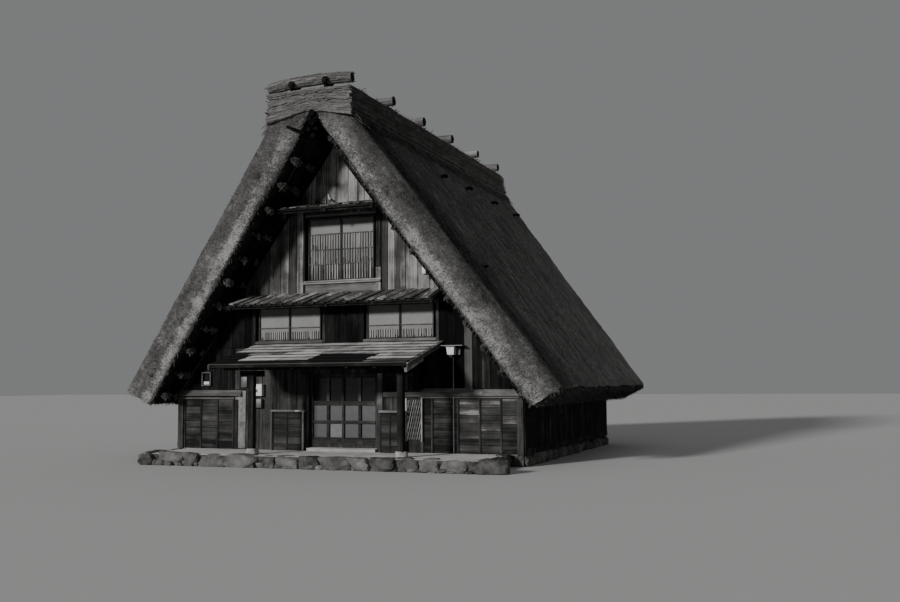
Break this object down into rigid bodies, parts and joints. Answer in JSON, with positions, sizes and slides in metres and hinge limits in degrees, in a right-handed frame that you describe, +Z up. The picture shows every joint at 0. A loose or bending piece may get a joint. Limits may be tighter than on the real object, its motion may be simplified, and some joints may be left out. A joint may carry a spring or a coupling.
{
  "type": "thatched gable farmhouse",
  "caption": "Steep thatched farmhouse with boarded gable storeys, lattice windows, board pent roofs, ridge cap with cross logs, a lean-to porch and sliding entrance doors.",
  "frame": {"origin": "on the ground under the middle of the house, midway between the gable walls and the side walls", "axes": "+X to the right along the front gable, +Y to the back along the ridge, +Z up"},
  "size_m": [11.264, 12.0232, 8.8455],
  "materials": {
    "stone": "rough field stone and rammed earth",
    "aged_board": "bare weathered boards",
    "dark_timber": "smoke-dark timber",
    "sash_wood": "weathered sash bars",
    "window_pane": "glass with pale paper screens behind",
    "pole_timber": "peeled poles with straw rope lashings",
    "thatch": "old reed thatch, trimmed",
    "ridge_straw": "layered straw",
    "pale_timber": "sun-bleached bare wood",
    "roof_board": "silvered roof boards",
    "enamel": "satin white paint"
  },
  "bodies": {
    "house": {"stone_base": "stone", "front_wall_left": "aged_board", "front_wall_right": "aged_board", "door_lintel": "dark_timber", "back_wall": "aged_board", "side_wall_left": "aged_board", "side_wall_right": "aged_board", "front_upper_wall": "aged_board", "front_top_wall": "aged_board", "front_gable_peak": "aged_board", "back_upper_wall": "aged_board", "back_top_wall": "aged_board", "back_gable_peak": "aged_board", "front_left_window": "sash_wood", "front_right_window": "sash_wood", "front_top_window": "sash_wood", "front_upper_panes": "window_pane", "front_top_panes": "window_pane", "back_left_window": "sash_wood", "back_right_window": "sash_wood", "back_top_window": "sash_wood", "back_upper_panes": "window_pane", "back_top_panes": "window_pane", "upper_floor": "dark_timber", "loft_floor": "dark_timber", "roof_frame_right": "pole_timber", "roof_frame_left": "pole_timber", "thatch_right": "thatch", "thatch_left": "thatch", "ridge_cap": "ridge_straw", "ridge_log_1": "pale_timber", "ridge_log_2": "pale_timber", "ridge_log_3": "pale_timber", "ridge_log_4": "pale_timber", "ridge_log_5": "pale_timber", "ridge_log_6": "pale_timber", "front_middle_pent_roof": "roof_board", "front_top_pent_roof": "roof_board", "back_middle_pent_roof": "roof_board", "back_top_pent_roof": "roof_board", "porch_roof": "roof_board", "porch_frame": "dark_timber", "porch_post_left": "aged_board", "porch_post_right": "aged_board", "door_threshold": "pale_timber", "folding_gate": "pale_timber", "wall_lamp": "enamel", "meter_box": "enamel"},
    "right_door": {"door_right": "sash_wood", "door_right_panes": "window_pane"},
    "left_door": {"door_left": "sash_wood", "door_left_panes": "window_pane"}
  },
  "joints": [
    {"name": "right_door_slide", "type": "slide", "parent": "house", "child": "right_door", "axis": [-1, 0, 0], "range_m": [0, 0.86]},
    {"name": "left_door_slide", "type": "slide", "parent": "house", "child": "left_door", "axis": [1, 0, 0], "range_m": [0, 0.86]}
  ]
}
